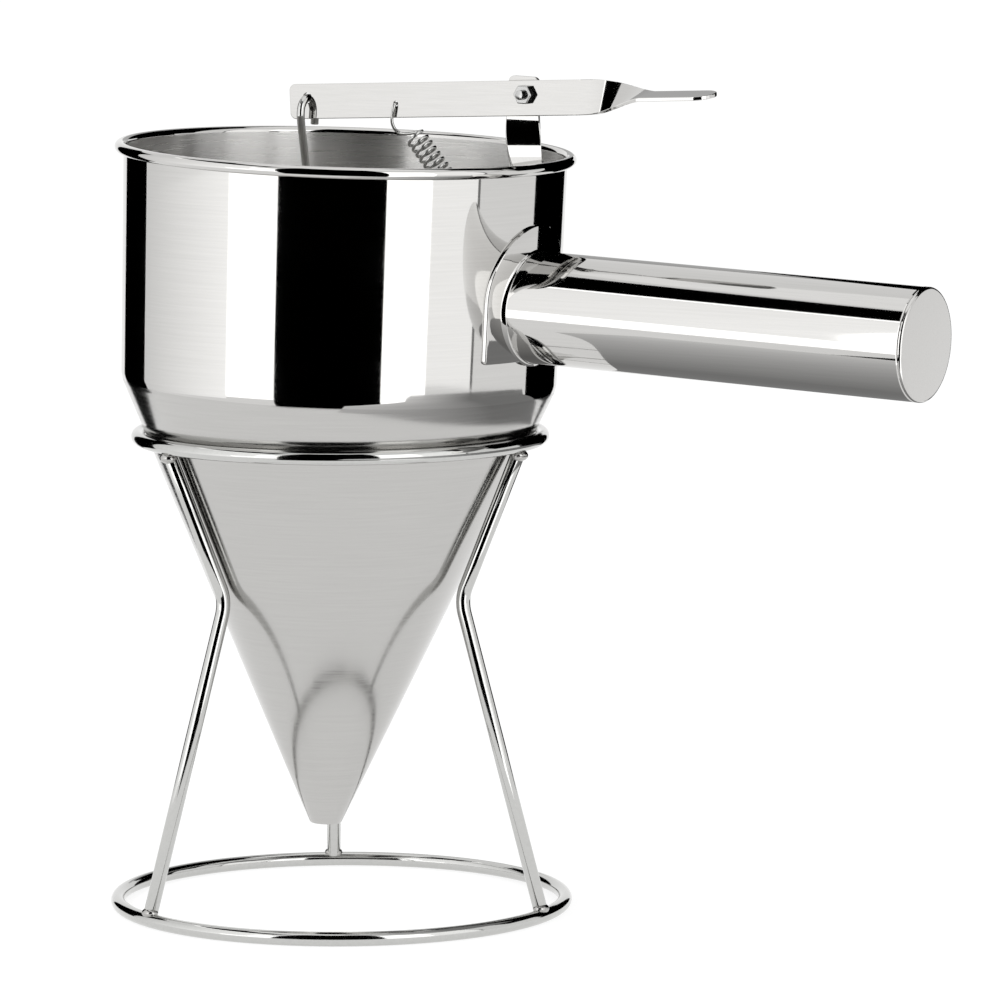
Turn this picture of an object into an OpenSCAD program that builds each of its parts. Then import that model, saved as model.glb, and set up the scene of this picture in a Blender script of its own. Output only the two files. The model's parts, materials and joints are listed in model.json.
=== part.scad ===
// Batter dispenser: a stainless steel funnel with a side handle, a thumb lever that lifts a
// stopper rod, and a three-legged wire stand. Millimetres, +Z up, handle along +X.
// The origin is the centre of the stand's base ring, on the table.

/* [Hopper] */
// Outer diameter over the rolled rim
rim_d = 145; // [130:1:160]
// Diameter of the rolled rim
bead_d = 3.6; // [3:0.1:4.6]
// Thickness of the hopper's sheet
sheet_t = 0.8; // [0.6:0.1:1]
// Height of the straight body, from the fold to the middle of the rolled rim
body_h = 72; // [60:1:90]
// Draft of the straight body, degrees
draft = 0.85; // [0:0.05:1.5]
// Height of the cone, from its cut tip to the fold
cone_h = 141.6; // [125:1:150]
// Outer diameter of the cone's cut tip
tip_d = 10.2; // [9:0.2:14]
// Radius of the fold between body and cone
fold_r = 10; // [4:1:16]

/* [Handle] */
// Outer diameter of the handle tube
handle_d = 35; // [30:0.5:38]
// Wall of the handle tube
handle_wall = 1.2; // [0.8:0.1:2]
// Distance from the hopper's axis to the outer face of the handle
handle_reach = 205; // [170:1:240]
// Distance of the handle's axis below the middle of the rolled rim
handle_drop = 43; // [40:1:46]
// Thickness of the end cap's disc
cap_t = 1.6; // [1.2:0.1:3]
// Height of the end cap's dome
cap_dome = 0.5; // [0.2:0.1:1]
// Depth of the end cap's spigot in the tube
spigot_h = 5; // [3:0.5:10]
// Radius of the saddle plate's arch
saddle_r = 23.5; // [21:0.5:25]
// Height of the arch's centre above the handle's axis
saddle_rise = 2; // [0:0.5:3]
// Thickness of the saddle plate
saddle_t = 1.2; // [0.8:0.1:2]
// Length of the weld around the tube's root, beyond the saddle plate
root_weld = 1.4; // [1:0.1:2]

/* [Stand] */
// Diameter of the stand's wire
wire_d = 4.5; // [4:0.1:5]
// Diameter of the base ring, at the middle of its wire
base_ring_d = 142; // [130:1:160]
// Diameter of the seat ring, at the middle of its wire
seat_ring_d = 127.4; // [122:0.2:130]
// Height of the stand, to the top of the seat ring
stand_h = 152.6; // [150:1:180]
// Height of the bend in each leg
leg_bend_z = 100.6; // [80:1:110]
// Radius of the bend in each leg
leg_bend_r = 14; // [8:1:20]
// Turn of the stand's legs from the handle's side, degrees
leg_turn = 3; // [0:0.5:6]
// Diameter of the weld beads on the stand
weld_d = 6; // [5.2:0.1:6.4]
// Lean of the hopper in the seat ring, towards its handle, degrees
seat_lean = 2.2; // [0:0.1:3]

/* [Lever] */
// Height of the lever's flat bar
lever_h = 11; // [9:0.5:12]
// Thickness of the lever's bar
lever_t = 1.2; // [1:0.1:1.5]
// Height of the pivot and the rod's hole above the middle of the bar
hole_rise = 1.15; // [0.8:0.05:1.6]
// Height of the lever's pivot above the middle of the rolled rim
pivot_rise = 22.6; // [20:0.2:28]
// Distance of the lever's pivot inside the hopper's wall
pivot_inset = 4.8; // [4:0.1:6]
// Distance from the pivot to the hole for the rod
rod_arm = 78.7; // [74:0.1:84]
// Distance from the hole for the rod to the end of the bar
bar_margin = 6.5; // [5:0.1:8]
// Distance from the pivot to the hole for the spring
spring_arm = 46.6; // [42:0.1:52]
// Distance from the pivot to the start of the bar's twist
twist_start = 18.2; // [14:0.1:24]
// Length of the bar's twist
twist_len = 24; // [16:0.1:28]
// Turn of the bar's twist, degrees
twist_turn = 82; // [75:1:90]
// Length of the flat thumb tab
tab_len = 23.4; // [18:0.1:30]
// Rise of the closed lever towards the thumb tab, degrees
lever_rise = 4.7; // [3:0.1:6]

/* [Pivot bracket] */
// Width of the bracket's strip
strip_w = 10.8; // [9.4:0.2:12]
// Thickness of the bracket's strip
strip_t = 1.2; // [1:0.1:1.5]
// Height of the strip's top above the pivot
strip_rise = 5.4; // [4.6:0.1:7]
// Distance of the strip's middle from the pivot, away from the wall
strip_shift = 2.1; // [0:0.1:2.4]
// Distance from the pivot down to the start of the strip's quarter twist
strip_twist_drop = 4.9; // [4.6:0.1:6]
// Distance of the end of the strip's twist below the middle of the rolled rim
strip_twist_end_drop = 8; // [4:0.5:12]
// Distance of the strip's foot below the middle of the rolled rim
foot_drop = 31; // [26:1:36]
// Reach of the foot from the wall to its end
foot_reach = 8.6; // [8:0.2:12]

/* [Pivot bolt] */
// Diameter of the pivot bolt
bolt_d = 3; // [2.5:0.5:3.5]
// Width of the nut across its flats
nut_af = 5.5; // [5:0.5:6.5]
// Thickness of the nut
nut_t = 2.4; // [2:0.1:3]
// Length of the bolt beyond the nut
bolt_end = 1.6; // [0.8:0.1:3]
// Diameter of the bolt's pan head
head_d = 5.6; // [5:0.1:6]
// Height of the bolt's pan head
head_h = 2; // [1.6:0.1:2.4]
// Outer diameter of the washer between the lever and the bracket
washer_d = 7; // [6:0.5:8]
// Thickness of the washer between the lever and the bracket
washer_t = 1; // [0.8:0.1:1.2]

/* [Stopper] */
// Diameter of the rod
rod_d = 2.5; // [2:0.1:3]
// Radius of the hook at the top of the rod, at the middle of the wire
hook_r = 4.3; // [3.6:0.1:5]
// Length of the hook's free leg, below its arch
hook_leg = 4.2; // [3:0.2:5]
// Height of the slanted neck under the hook
neck_h = 16; // [12:1:22]
// Distance of the stopper above the cut tip
stopper_z = 2.2; // [1.5:0.1:4]
// Height of the stopper's cone
stopper_h = 11; // [8:0.5:14]

/* [Return spring] */
// Diameter of the spring's wire
spring_wire = 1; // [0.8:0.1:1.2]
// Outer diameter of the spring's coils
spring_d = 7.2; // [6:0.1:8]
// Number of coils
spring_coils = 19; // [15:1:20]
// Length of the hook between the lever and the coils
spring_hook = 10.8; // [10:0.2:13]
// Length of the straight tail between the coils and the lower loop
spring_tail = 9; // [6:0.2:11]

/* [Clearances] */
// Clearance between the cone and the stand
seat_gap = 0.3; // [0.2:0.05:0.6]
// Radial clearance of turning and fitted pieces
fit = 0.06; // [0.04:0.01:0.08]
// Clearance between the stopper and its seat
stopper_gap = 0.2; // [0.15:0.05:0.3]
// Clearance between a wire hook and the hole that it hangs in
hook_gap = 0.4; // [0.3:0.05:0.5]
// Clearance between the bracket's strip and the hopper's wall
wall_gap = 0.1; // [0.05:0.05:0.2]

/* [Hidden] */
$fn = 96;
swell = 0.02;
steel = "#c9cbce";
polished = "#dcdde0";
satin = "#b4b6b8";

// Radius of the body's outer face at its rim and at the fold, and the cone's half angle
wall_in_r = rim_d / 2 - bead_d;
wall_out_r = wall_in_r + sheet_t;
fold_out_r = wall_out_r - body_h * tan(draft);
tip_r = tip_d / 2;
cone_angle = atan((fold_out_r - tip_r) / cone_h);
cone_wall = sheet_t / cos(cone_angle);
rim_z = cone_h + body_h;

// The seat: the leaning cone touches the seat ring's wire on its handle side and opposite
seat_r = seat_ring_d / 2;
seat_z = stand_h - wire_d / 2;
near_angle = cone_angle - seat_lean;
far_angle = cone_angle + seat_lean;
seat_off = wire_d / 2 + seat_gap;
apex_depth = (2 * seat_r - seat_off / cos(near_angle) - seat_off / cos(far_angle))
    / (tan(near_angle) + tan(far_angle));
apex_x = (seat_off + apex_depth * sin(near_angle)) / cos(near_angle) - seat_r;
apex_z = seat_z - apex_depth;
apex_to_tip = tip_r / tan(cone_angle);

// The legs: the upper stretch of each follows the leaning cone, at the seat's clearance
leg_step = 360 / 3;
function cone_mid_x(z) = apex_x + (z - apex_z) * (tan(far_angle) - tan(near_angle)) / 2;
function cone_mid_r(z) = (z - apex_z) * (tan(far_angle) + tan(near_angle)) / 2;
function leg_r(z) = cone_mid_r(z) + cone_mid_x(z) * cos(leg_step + leg_turn) + seat_off / cos(cone_angle);
leg_foot = [base_ring_d / 2, wire_d / 2];
leg_bend = [leg_r(leg_bend_z), leg_bend_z];
leg_top_z = seat_z - 2 * wire_d / 3;
leg_top = [leg_r(leg_top_z), leg_top_z];

// The handle
handle_z = rim_z - handle_drop;
tube_end = handle_reach - cap_t - cap_dome;
function body_r(z) = wall_out_r - (rim_z - z) * tan(draft);

// The lever and its pivot
pivot_x = wall_in_r - pivot_inset;
pivot_z = rim_z + pivot_rise;
bar_end = rod_arm + bar_margin;
spring_hole_drop = hole_rise + 1.1;
spring_hole_d = spring_wire + 2 * hook_gap;
rod_hole_d = rod_d + 2 * hook_gap;

// The strip behind the lever, and its leg on the hopper's inner wall
strip_x = pivot_x - strip_shift;
strip_y = lever_t / 2 + washer_t + 2 * fit;
foot_z = rim_z - foot_drop;
foot_wall_r = body_r(foot_z) - sheet_t;
leg_face_x = sqrt(pow(foot_wall_r, 2) - pow(strip_w / 2, 2)) - wall_gap;
strip_twist_top = pivot_z - strip_twist_drop;
strip_twist_end = rim_z - strip_twist_end_drop;
foot_end_x = leg_face_x - foot_reach;
foot_lip = 1.9;
foot_hole_x = foot_end_x + foot_lip + spring_hole_d / 2;

// The rod: its hook hangs in the lever's hole and its lower end is on the hopper's axis
function on_lever(along, up) = [
    pivot_x + along * cos(lever_rise) - up * sin(lever_rise),
    0,
    pivot_z + along * sin(lever_rise) + up * cos(lever_rise)];
rod_eye = on_lever(-rod_arm, 0);
rod_socket = [0, 0, stopper_z + stopper_h / 3];

// The return spring: from the hole in the lever to the foot of the bracket
spring_r = (spring_d - spring_wire) / 2;
spring_eye = on_lever(-spring_arm, -spring_hole_drop);
loop_r = foot_lip / 2 + spring_hole_d / 2;
loop_centre = [foot_end_x + foot_lip / 2, 0, foot_z - strip_t / 2];
pull_from = spring_eye - [0, 0, 2];
pull_len = norm(loop_centre - pull_from);
pull_dir = (loop_centre - pull_from) / pull_len;
pull_tilt = atan2(-pull_dir[2], pull_dir[0]);
coil_len = pull_len - spring_hook - spring_tail - loop_r;
spring_pitch = coil_len / spring_coils;

// A straight wire from p to q
module wire(p, q, d) {
    v = q - p;
    translate(p)
        rotate([0, acos(v[2] / norm(v)), atan2(v[1], v[0])])
            cylinder(h = norm(v), d = d);
}

// The bend between two wires, which swells a little beyond them
module knuckle(p, d) {
    translate(p) sphere(d = d + 2 * swell);
}

module wire_path(points, d) {
    for (i = [0 : len(points) - 2]) wire(points[i], points[i + 1], d);
    for (i = [1 : len(points) - 2]) knuckle(points[i], d);
}

module ring(r, z) {
    translate([0, 0, z]) rotate_extrude() translate([r, 0]) circle(d = wire_d);
}

// A strip that turns about its own length: one rectangle for each centre and angle
module ribbon(centres, angles, w, t, along) {
    n = len(centres);
    corners = [[-w, -t], [w, -t], [w, t], [-w, t]] / 2;
    points = [
        for (i = [0 : n - 1])
            for (c = corners)
                let (a = c[0] * cos(angles[i]) - c[1] * sin(angles[i]))
                let (b = c[0] * sin(angles[i]) + c[1] * cos(angles[i]))
                centres[i] + (along == "z" ? [a, b, 0] : [0, a, b])];
    sides = [
        for (i = [0 : n - 2])
            for (k = [0 : 3])
                let (p = 4 * i + k)
                let (q = 4 * i + (k + 1) % 4)
                each [[p, q + 4, q], [p, p + 4, q + 4]]];
    top = 4 * (n - 1);
    polyhedron(points, concat(sides, [[0, 1, 2, 3], [top + 3, top + 2, top + 1, top]]));
}

// Places a piece of the hopper, which is drawn upright on its cut tip, in the stand
module in_stand() {
    translate([apex_x, 0, apex_z])
        rotate([0, seat_lean, 0])
            translate([0, 0, apex_to_tip])
                children();
}

// The round of the body's outer face, grown by an offset, over the height of the handle
module body_round(grow) {
    low = handle_z - saddle_r - 2;
    high = handle_z + saddle_rise + saddle_r + 2;
    translate([0, 0, low])
        cylinder(h = high - low, r1 = body_r(low) + grow, r2 = body_r(high) + grow);
}

// ---- Stand ----

module base_ring() {
    color(polished) ring(leg_foot[0], leg_foot[1]);
}

module seat_ring() {
    color(polished) ring(seat_r, seat_z);
}

function upright(p) = [p[0], 0, p[1]];

// A bent wire in the plane of its own leg, coped onto both rings, with its weld beads
module leg(angle) {
    low_dir = (leg_bend - leg_foot) / norm(leg_bend - leg_foot);
    high_dir = (leg_top - leg_bend) / norm(leg_top - leg_bend);
    low_tilt = atan2(low_dir[0], low_dir[1]);
    high_tilt = atan2(high_dir[0], high_dir[1]);
    turn = high_tilt - low_tilt;
    reach = leg_bend_r * tan(turn / 2);
    low_end = leg_bend - reach * low_dir;
    high_end = leg_bend + reach * high_dir;
    centre = low_end + leg_bend_r * [cos(low_tilt), -sin(low_tilt)];
    start = leg_foot + wire_d / 4 * low_dir;
    low_bead = leg_foot + [-wire_d / 6, wire_d * 0.6];
    high_bead = [seat_r, seat_z] + [0, -wire_d * 0.75];
    color(polished)
        rotate([0, 0, angle])
            difference() {
                union() {
                    wire(upright(start), upright(low_end - 5 * swell * low_dir), wire_d);
                    wire(upright(high_end + 5 * swell * high_dir), upright(leg_top), wire_d);
                    knuckle(upright(low_end), wire_d);
                    knuckle(upright(high_end), wire_d);
                    translate([centre[0], 0, centre[1]])
                        rotate([90, 0, 0])
                            rotate([0, 0, 180 - high_tilt])
                                rotate_extrude(angle = turn)
                                    translate([leg_bend_r, 0])
                                        circle(d = wire_d);
                    translate(upright(low_bead)) sphere(d = weld_d);
                    translate(upright(high_bead)) sphere(d = weld_d);
                }
                ring(leg_foot[0], leg_foot[1]);
                ring(seat_r, seat_z);
            }
}

module leg_handle_side() {
    leg(leg_turn);
}

module leg_back() {
    leg(leg_turn + leg_step);
}

module leg_front() {
    leg(leg_turn - leg_step);
}

// ---- Hopper ----

// The sheet's section: cone, fold and body, with a round fold
module hopper_section() {
    reach = fold_r * tan((cone_angle - draft) / 2);
    tangent = [fold_out_r, cone_h] - reach * [sin(cone_angle), cos(cone_angle)];
    centre = tangent - fold_r * [cos(cone_angle), -sin(cone_angle)];
    steps = 8;
    turns = [for (i = [0 : steps]) cone_angle + (draft - cone_angle) * i / steps];
    outside = [for (a = turns) centre + fold_r * [cos(a), -sin(a)]];
    inside = [for (i = [steps : -1 : 0]) centre + (fold_r - sheet_t) * [cos(turns[i]), -sin(turns[i])]];
    rim = [[wall_out_r, rim_z], [wall_in_r, rim_z]];
    polygon(concat([[tip_r, 0]], outside, rim, inside, [[tip_r - cone_wall, 0]]));
}

// The rolled rim's section: a curl that stays open by a slot beside the wall
module curl_section() {
    bead_r = bead_d / 2;
    slot = 0.35;
    difference() {
        translate([wall_in_r + bead_r, rim_z]) circle(r = bead_r);
        translate([wall_in_r + bead_r, rim_z]) circle(r = bead_r - sheet_t);
        translate([wall_out_r, rim_z - bead_r]) square([slot, bead_r - slot]);
    }
}

module hopper() {
    color(polished)
        in_stand()
            rotate_extrude() {
                hopper_section();
                curl_section();
            }
}

// ---- Handle ----

module handle_saddle() {
    drop = 0.7 * saddle_r;
    color(polished)
        in_stand()
            intersection() {
                difference() {
                    body_round(saddle_t);
                    body_round(fit / 2);
                }
                translate([0, 0, handle_z])
                    rotate([90, 0, 90])
                        linear_extrude(height = rim_d) {
                            translate([0, saddle_rise]) circle(r = saddle_r);
                            translate([-saddle_r, -drop]) square([2 * saddle_r, drop + saddle_rise]);
                        }
            }
}

// The tube, with the weld that flares out around its root on the saddle
module handle_tube() {
    r = handle_d / 2;
    face_x = body_r(handle_z) + saddle_t;
    weld_to = face_x + root_weld;
    weld_from = sqrt(pow(face_x, 2) - pow(r + 2 * root_weld, 2)) - 1;
    color(polished)
        in_stand()
            difference() {
                translate([0, 0, handle_z])
                    rotate([0, 90, 0])
                        rotate_extrude() polygon([
                            [r - handle_wall, weld_from],
                            [r + (weld_to - weld_from) / 3, weld_from],
                            [r, weld_to],
                            [r, tube_end],
                            [r - handle_wall, tube_end]]);
                body_round(saddle_t + fit / 2);
            }
}

// A pressed disc with a round edge and a low dome, and a spigot that fits the tube
module handle_end_cap() {
    cap_r = handle_d / 2;
    edge = 0.6 * cap_t;
    flat_r = cap_r - edge;
    dome_r = (pow(flat_r, 2) + pow(cap_dome, 2)) / (2 * cap_dome);
    dome_angle = asin(flat_r / dome_r);
    spigot_r = cap_r - handle_wall - fit;
    steps = 6;
    rounding = [
        for (i = [0 : steps])
            let (a = 90 * i / steps)
            [flat_r + edge * cos(a), cap_t - edge + edge * sin(a)]];
    dome = [
        for (i = [1 : steps])
            let (a = dome_angle * (1 - i / steps))
            [dome_r * sin(a), cap_t + cap_dome - dome_r + dome_r * cos(a)]];
    color(polished)
        in_stand()
            translate([tube_end, 0, handle_z])
                rotate([0, 90, 0]) {
                    rotate_extrude() polygon(concat([[0, 0], [cap_r, 0]], rounding, dome));
                    translate([0, 0, -spigot_h])
                        difference() {
                            cylinder(h = spigot_h, r = spigot_r);
                            translate([0, 0, -1]) cylinder(h = spigot_h + 1, r = spigot_r - handle_wall);
                        }
                }
}

// ---- Pivot bracket: one strip behind the lever, twisted and run down the inner wall ----

module bracket_top() {
    corner = 2;
    top = pivot_z + strip_rise;
    translate([0, strip_y + strip_t, 0])
        rotate([90, 0, 0])
            linear_extrude(height = strip_t)
                difference() {
                    union() {
                        translate([strip_x - strip_w / 2, strip_twist_top])
                            square([strip_w, top - corner - strip_twist_top]);
                        translate([strip_x - strip_w / 2 + corner, top - corner])
                            square([strip_w - 2 * corner, corner]);
                        for (side = [-1, 1])
                            translate([strip_x + side * (strip_w / 2 - corner), top - corner])
                                circle(r = corner);
                    }
                    translate([pivot_x, pivot_z]) circle(d = bolt_d + 2 * fit);
                }
}

// The strip turns a quarter about its own length, and bends towards the wall as it goes down
module bracket_twist() {
    steps = 16;
    from = [strip_x, strip_y + strip_t / 2, strip_twist_top];
    to = [leg_face_x - strip_t / 2, 0, strip_twist_end];
    shares = [for (i = [0 : steps]) i / steps];
    lap = [0, 0, strip_t];
    turning = [
        for (k = shares)
            [from[0] + (to[0] - from[0]) * k * k, from[1] * (1 - k), from[2] + (to[2] - from[2]) * k]];
    centres = concat([from + lap], turning, [to - lap]);
    angles = concat([0], [for (k = shares) 90 * k], [90]);
    mirror([0, 0, 1])
        ribbon([for (c = centres) [c[0], c[1], -c[2]]], angles, strip_w, strip_t, "z");
}

module bracket_foot() {
    corner = 2;
    translate([leg_face_x - strip_t, -strip_w / 2, foot_z - strip_t])
        cube([strip_t, strip_w, strip_twist_end - foot_z + strip_t]);
    translate([0, 0, foot_z - strip_t])
        linear_extrude(height = strip_t)
            difference() {
                union() {
                    translate([foot_end_x + corner, -strip_w / 2])
                        square([foot_reach - corner, strip_w]);
                    translate([foot_end_x, -strip_w / 2 + corner])
                        square([corner, strip_w - 2 * corner]);
                    for (side = [-1, 1])
                        translate([foot_end_x + corner, side * (strip_w / 2 - corner)])
                            circle(r = corner);
                }
                translate([foot_hole_x, 0]) circle(d = spring_hole_d);
            }
}

module pivot_bracket() {
    color(polished)
        in_stand() {
            bracket_top();
            bracket_twist();
            bracket_foot();
        }
}

// ---- Pivot bolt, nut and washer: along Y, with the head at the back ----

module on_pivot() {
    in_stand()
        translate([pivot_x, 0, pivot_z])
            rotate([90, 0, 0])
                children();
}

module pivot_bolt() {
    back = strip_y + strip_t;
    front = lever_t / 2 + fit + nut_t + bolt_end;
    chamfer = 0.4;
    slot = 1;
    color(steel)
        on_pivot()
            difference() {
                rotate_extrude() polygon([
                    [0, -back - head_h],
                    [head_d / 2 - head_h / 2, -back - head_h],
                    [head_d / 2 - head_h / 6, -back - 0.75 * head_h],
                    [head_d / 2, -back - 0.4 * head_h],
                    [head_d / 2, -back],
                    [bolt_d / 2, -back],
                    [bolt_d / 2, front - chamfer],
                    [bolt_d / 2 - chamfer, front],
                    [0, front]]);
                translate([-head_d / 2, -slot / 2, -back - head_h - 1])
                    cube([head_d, slot, 1 + head_h / 2]);
            }
}

module pivot_nut() {
    corner_r = nut_af / 2 / cos(30);
    chamfer = corner_r - nut_af / 2;
    color(steel)
        on_pivot()
            translate([0, 0, lever_t / 2 + fit])
                difference() {
                    intersection() {
                        cylinder(h = nut_t, r = corner_r, $fn = 6);
                        rotate_extrude() polygon([
                            [0, 0],
                            [corner_r + 1, 0],
                            [corner_r + 1, nut_t - chamfer - 0.6],
                            [nut_af / 2, nut_t],
                            [0, nut_t]]);
                    }
                    translate([0, 0, -1]) cylinder(h = nut_t + 2, d = bolt_d + fit);
                }
}

module pivot_washer() {
    color(steel)
        on_pivot()
            translate([0, 0, -lever_t / 2 - fit - washer_t])
                difference() {
                    cylinder(h = washer_t, d = washer_d);
                    translate([0, 0, -1]) cylinder(h = washer_t + 2, d = bolt_d + 4 * fit);
                }
}

// ---- Lever: a flat bar on edge, with nearly a quarter twist to a flat thumb tab ----

module lever_bar() {
    corner = 2;
    rotate([90, 0, 0])
        translate([0, 0, -lever_t / 2])
            linear_extrude(height = lever_t)
                difference() {
                    translate([0, -hole_rise]) {
                        translate([-bar_end + corner, -lever_h / 2])
                            square([bar_end + twist_start - corner, lever_h]);
                        translate([-bar_end, -lever_h / 2 + corner])
                            square([corner, lever_h - 2 * corner]);
                        for (side = [-1, 1])
                            translate([-bar_end + corner, side * (lever_h / 2 - corner)])
                                circle(r = corner);
                    }
                    circle(d = bolt_d + 2 * fit);
                    translate([-rod_arm, 0]) circle(d = rod_hole_d);
                    translate([-spring_arm, -spring_hole_drop]) circle(d = spring_hole_d);
                }
}

module lever_twist() {
    steps = 20;
    from = [twist_start, 0, -hole_rise];
    to = from + [twist_len, 0, 0];
    lap = [lever_t, 0, 0];
    shares = [for (i = [0 : steps]) i / steps];
    centres = concat([from - lap], [for (k = shares) from + k * (to - from)], [to + lap]);
    angles = concat([0], [for (k = shares) -twist_turn * k], [-twist_turn]);
    ribbon(centres, angles, lever_t, lever_h, "x");
}

module lever_tab() {
    translate([twist_start + twist_len, 0, -hole_rise])
        rotate([90 - twist_turn, 0, 0])
            translate([0, 0, -lever_t / 2])
                linear_extrude(height = lever_t) {
                    translate([0, -lever_h / 2]) square([tab_len - lever_h / 2, lever_h]);
                    translate([tab_len - lever_h / 2, 0]) circle(d = lever_h);
                }
}

module lever() {
    color(polished)
        in_stand()
            translate([pivot_x, 0, pivot_z])
                rotate([0, -lever_rise, 0]) {
                    lever_bar();
                    lever_twist();
                    lever_tab();
                }
}

// ---- Rod and stopper ----

module plunger_rod() {
    arch = [rod_eye[0], 0, rod_eye[2] - hook_r];
    neck_top = arch + [0, -hook_r, -hook_leg / 2];
    neck_end = [rod_eye[0], 0, neck_top[2] - neck_h];
    color(steel)
        in_stand() {
            wire_path([arch + [0, -hook_r, -5 * swell], neck_top, neck_end, rod_socket], rod_d);
            wire(arch + [0, hook_r, -5 * swell], arch + [0, hook_r, -hook_leg], rod_d);
            knuckle(arch + [0, hook_r, 0], rod_d);
            knuckle(arch + [0, -hook_r, 0], rod_d);
            translate(arch)
                rotate([90, 0, 90])
                    rotate_extrude(angle = 180)
                        translate([hook_r, 0])
                            circle(d = rod_d);
        }
}

function seat_cone_r(z) = tip_r - cone_wall + z * tan(cone_angle) - stopper_gap / cos(cone_angle);

module stopper() {
    high = stopper_z + stopper_h;
    boss_r = 1.8 * rod_d;
    boss_top = high + 3.2 * rod_d;
    rod_from = [rod_eye[0], 0, rod_eye[2] - hook_r - hook_leg / 2 - neck_h];
    color(steel)
        in_stand()
            difference() {
                rotate_extrude() polygon([
                    [0, stopper_z],
                    [seat_cone_r(stopper_z), stopper_z],
                    [seat_cone_r(high), high],
                    [seat_cone_r(high) - 0.6, high + 0.8],
                    [boss_r + 0.8, high + 0.5 * rod_d],
                    [boss_r, high + 0.9 * rod_d],
                    [boss_r, boss_top - 0.5],
                    [boss_r - 0.5, boss_top],
                    [0, boss_top]]);
                wire(rod_socket, rod_from, rod_d + 2 * fit);
            }
}

// ---- Return spring ----

// The coils about +Z: a round wire on a helix, starting on -X
module coils() {
    turn_steps = 16;
    sides = 8;
    rings = spring_coils * turn_steps;
    pitch_angle = atan(spring_pitch / (2 * PI * spring_r));
    points = [
        for (i = [0 : rings])
            let (a = 180 + 360 * i / turn_steps)
            for (k = [0 : sides - 1])
                let (b = 360 * k / sides)
                let (out = spring_wire / 2 * cos(b))
                let (up = spring_wire / 2 * sin(b))
                [
                    (spring_r + out) * cos(a) + up * sin(pitch_angle) * sin(a),
                    (spring_r + out) * sin(a) - up * sin(pitch_angle) * cos(a),
                    spring_pitch * i / turn_steps + up * cos(pitch_angle)]];
    walls = [
        for (i = [0 : rings - 1])
            for (k = [0 : sides - 1])
                let (p = sides * i + k)
                let (q = sides * i + (k + 1) % sides)
                each [[p, q, q + sides], [p, q + sides, p + sides]]];
    start = [for (k = [sides - 1 : -1 : 0]) k];
    finish = [for (k = [0 : sides - 1]) sides * rings + k];
    polyhedron(points, concat(walls, [start, finish]));
}

module return_spring() {
    $fn = 12;
    up_side = [sin(pull_tilt), 0, cos(pull_tilt)] * spring_r;
    coil_start = pull_from + pull_dir * spring_hook;
    coil_end = coil_start + pull_dir * coil_len;
    tail_start = coil_end + pull_dir * 1.5 * spring_wire;
    loop_start = loop_centre - pull_dir * loop_r;
    behind = spring_eye + [0, lever_t / 2 + 1.5 * spring_wire, 0];
    aside = lever_t / 2 + spring_wire;
    before = spring_eye - [0, aside, 0];
    bend = [[-0.07, -0.52], [0.04, -0.77], [0.24, -0.86], [0.57, -0.82]] * spring_hook;
    hook = [for (i = [0 : 3]) spring_eye + [bend[i][0], -aside * (1 - i / 4), bend[i][1]]];
    color(satin)
        in_stand() {
            wire_path(concat([behind, before], hook, [coil_start + up_side]), spring_wire);
            knuckle(coil_start + up_side, spring_wire);
            translate(coil_start)
                rotate([0, 90 + pull_tilt, 0])
                    coils();
            wire_path([coil_end + up_side, tail_start, loop_start - 5 * swell * pull_dir], spring_wire);
            knuckle(coil_end + up_side, spring_wire);
            knuckle(loop_start, spring_wire);
            translate(loop_centre)
                rotate([90, 0, 0])
                    rotate([0, 0, -180 - pull_tilt])
                        rotate_extrude(angle = 330, $fn = 48)
                            translate([loop_r, 0])
                                circle(d = spring_wire, $fn = 12);
        }
}

base_ring();
seat_ring();
leg_handle_side();
leg_back();
leg_front();
hopper();
handle_saddle();
handle_tube();
handle_end_cap();
pivot_bracket();
pivot_bolt();
pivot_nut();
pivot_washer();
lever();
plunger_rod();
stopper();
return_spring();
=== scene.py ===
import json
import math

import bmesh
import bpy
from bmesh.types import BMEdge, BMFace, BMVert
from bpy.props import FloatProperty, FloatVectorProperty, IntProperty, PointerProperty
from mathutils import Matrix, Vector


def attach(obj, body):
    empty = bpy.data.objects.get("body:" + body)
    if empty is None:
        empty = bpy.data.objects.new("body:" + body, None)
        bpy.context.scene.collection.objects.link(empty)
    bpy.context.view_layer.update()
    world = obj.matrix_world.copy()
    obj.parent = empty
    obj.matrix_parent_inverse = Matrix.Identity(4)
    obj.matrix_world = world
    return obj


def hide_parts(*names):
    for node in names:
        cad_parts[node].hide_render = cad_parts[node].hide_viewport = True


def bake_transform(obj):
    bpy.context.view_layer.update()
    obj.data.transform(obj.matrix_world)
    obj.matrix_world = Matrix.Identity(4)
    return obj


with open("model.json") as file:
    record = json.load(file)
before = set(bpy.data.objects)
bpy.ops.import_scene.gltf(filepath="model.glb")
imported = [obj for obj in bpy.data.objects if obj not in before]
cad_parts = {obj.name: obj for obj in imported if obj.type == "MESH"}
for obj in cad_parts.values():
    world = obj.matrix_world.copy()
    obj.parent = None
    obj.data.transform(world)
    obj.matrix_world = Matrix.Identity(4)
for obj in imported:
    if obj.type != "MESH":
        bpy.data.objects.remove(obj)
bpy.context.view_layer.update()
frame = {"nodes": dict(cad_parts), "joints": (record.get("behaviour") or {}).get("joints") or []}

bl_info = {
    "name": "Batter dispenser",
    "version": (1, 0, 0),
    "blender": (4, 5, 0),
    "location": "View3D > Sidebar > Dispenser",
    "description": "Dresses a stainless batter dispenser and its wire stand",
    "category": "Object",
}

# Places closer than this, in metres, count as the same
TOUCH = 1e-6
MICRON = 1e-6

# Glow of the studio's black and of its lit paper
BLACK, WHITE = 0.0, 2.2

# Radius of the ring on which most cards stand, and height of what lies on the floor
RING, LYING = 0.90, 0.0005

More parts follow.
